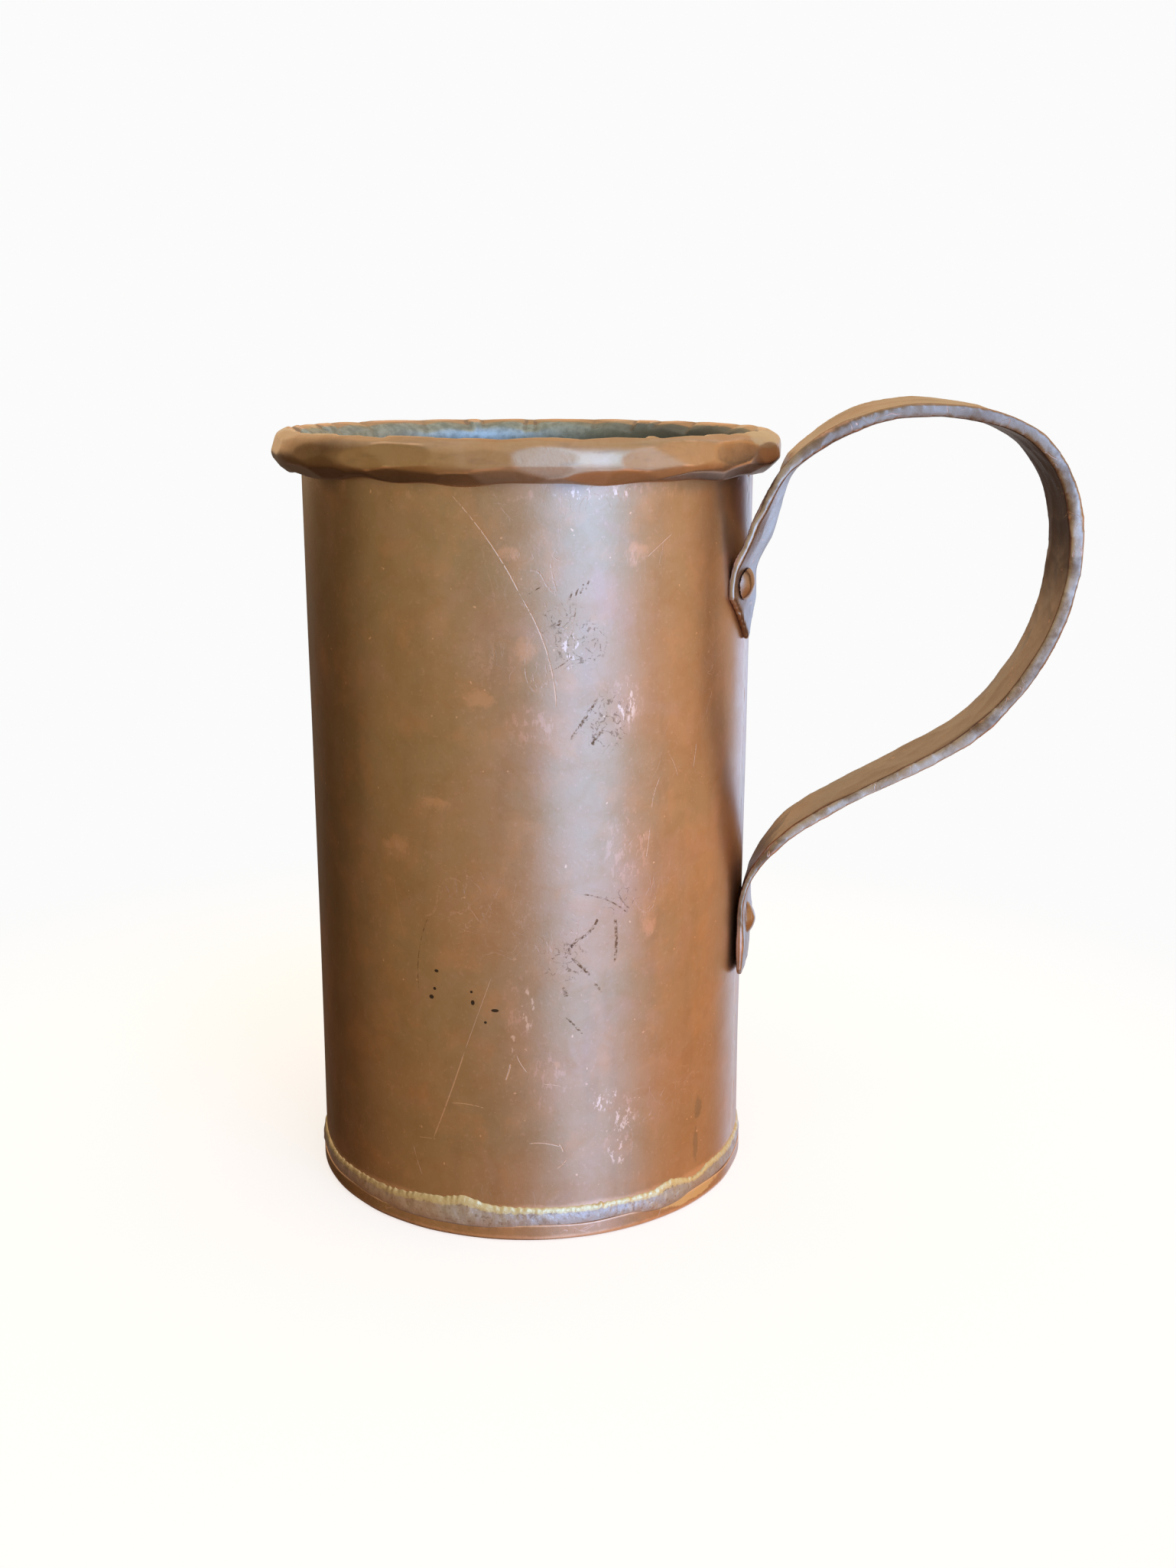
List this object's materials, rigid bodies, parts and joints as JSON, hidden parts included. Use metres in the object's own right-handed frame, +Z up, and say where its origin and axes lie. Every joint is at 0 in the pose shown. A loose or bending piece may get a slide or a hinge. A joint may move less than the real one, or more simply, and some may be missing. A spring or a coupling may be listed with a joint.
{
  "type": "copper mug",
  "caption": "Tall straight-sided copper mug with a rolled wired rim, tinned inside, brazed flanged base and a riveted strap handle.",
  "frame": {"origin": "centre of the flat base, where it rests", "axes": "+Z up along the mug's axis to the rim, +X from the axis towards the outermost part of the handle"},
  "size_m": [0.1708, 0.1084, 0.1724],
  "materials": {
    "copper_body": "aged copper sheet, brown patina, half polished",
    "copper_base": "aged copper sheet, darker patina",
    "copper_strap": "forged copper strap, worn bright on the edges",
    "copper_rivet": "hammered copper rivets",
    "spelter": "brass spelter, filed and tarnished",
    "tin": "wiped tin, dull and mottled",
    "iron_wire": "drawn iron wire, hidden inside the rim"
  },
  "bodies": {
    "root": {"body_shell": "copper_body", "rim_wire": "iron_wire", "side_seam_braze": "spelter", "base_pan": "copper_base", "base_braze": "spelter", "tin_lining": "tin", "handle_strap": "copper_strap", "upper_rivet": "copper_rivet", "lower_rivet": "copper_rivet"}
  },
  "joints": []
}
